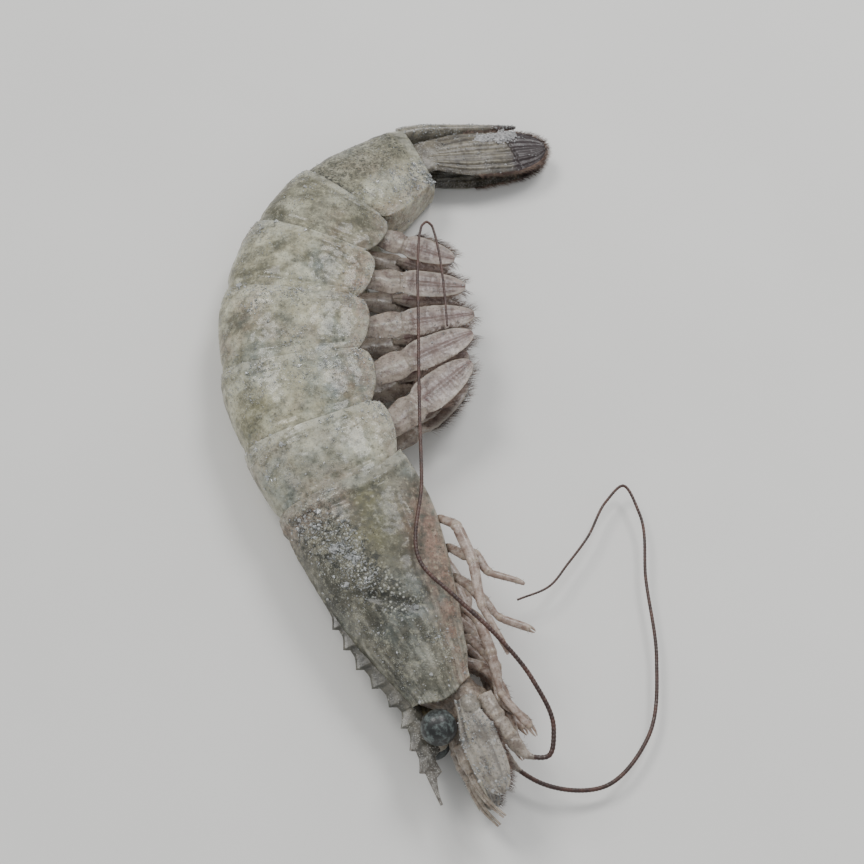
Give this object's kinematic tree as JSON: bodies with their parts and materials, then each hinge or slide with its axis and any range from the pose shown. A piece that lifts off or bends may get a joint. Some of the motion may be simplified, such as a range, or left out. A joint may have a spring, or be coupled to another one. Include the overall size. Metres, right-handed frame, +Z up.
{
  "type": "raw whiteleg shrimp",
  "caption": "Raw head-on whiteleg shrimp lying curled on its side: toothed carapace, ringed abdomen, folded tail fan, legs, swimmerets and feelers.",
  "frame": {"origin": "centre of the bounding box in plan, at the ground under the shrimp", "axes": "+Z up; the head points to -Y, the ridge of the back to -X and the tail curls over towards +X; the left flank faces up"},
  "size_m": [0.0772, 0.1436, 0.02],
  "materials": {
    "head_shell": "translucent olive grey shell with fine dark speckles, granular frost and dull white rime",
    "body_shell": "translucent grey shell, olive and teal patches, pale segment borders, frosty rime",
    "tail_fan": "ribbed olive brown blades with dark purplish brown tips and fringes",
    "eye": "dark glassy eye under thin ice",
    "swimmeret": "purplish pale translucent blades with fringes",
    "leg": "pale brownish pink jointed legs",
    "feeler": "thin dark reddish brown feelers",
    "mouthparts": "brownish olive mouthparts",
    "feeler_base": "olive grey plates and stalks"
  },
  "bodies": {
    "root": {"carapace": "head_shell", "abdomen_1": "body_shell", "abdomen_2": "body_shell", "abdomen_3": "body_shell", "abdomen_4": "body_shell", "abdomen_5": "body_shell", "abdomen_6": "body_shell", "telson": "tail_fan", "uropod_left_outer": "tail_fan", "uropod_left_inner": "tail_fan", "uropod_right_outer": "tail_fan", "uropod_right_inner": "tail_fan", "head_base": "mouthparts", "eye_left": "eye", "eye_right": "eye", "antennal_scale_left": "feeler_base", "antennal_scale_right": "feeler_base", "antennule_left": "feeler_base", "antennule_right": "feeler_base", "antenna_left": "feeler", "antenna_right": "feeler", "maxilliped_left": "leg", "maxilliped_right": "leg", "leg_left_1": "leg", "leg_left_2": "leg", "leg_left_3": "leg", "leg_left_4": "leg", "leg_left_5": "leg", "leg_right_1": "leg", "leg_right_2": "leg", "leg_right_3": "leg", "leg_right_4": "leg", "leg_right_5": "leg", "pleopod_left_1": "swimmeret", "pleopod_left_2": "swimmeret", "pleopod_left_3": "swimmeret", "pleopod_left_4": "swimmeret", "pleopod_left_5": "swimmeret", "pleopod_right_1": "swimmeret", "pleopod_right_2": "swimmeret", "pleopod_right_3": "swimmeret", "pleopod_right_4": "swimmeret", "pleopod_right_5": "swimmeret"}
  },
  "joints": []
}
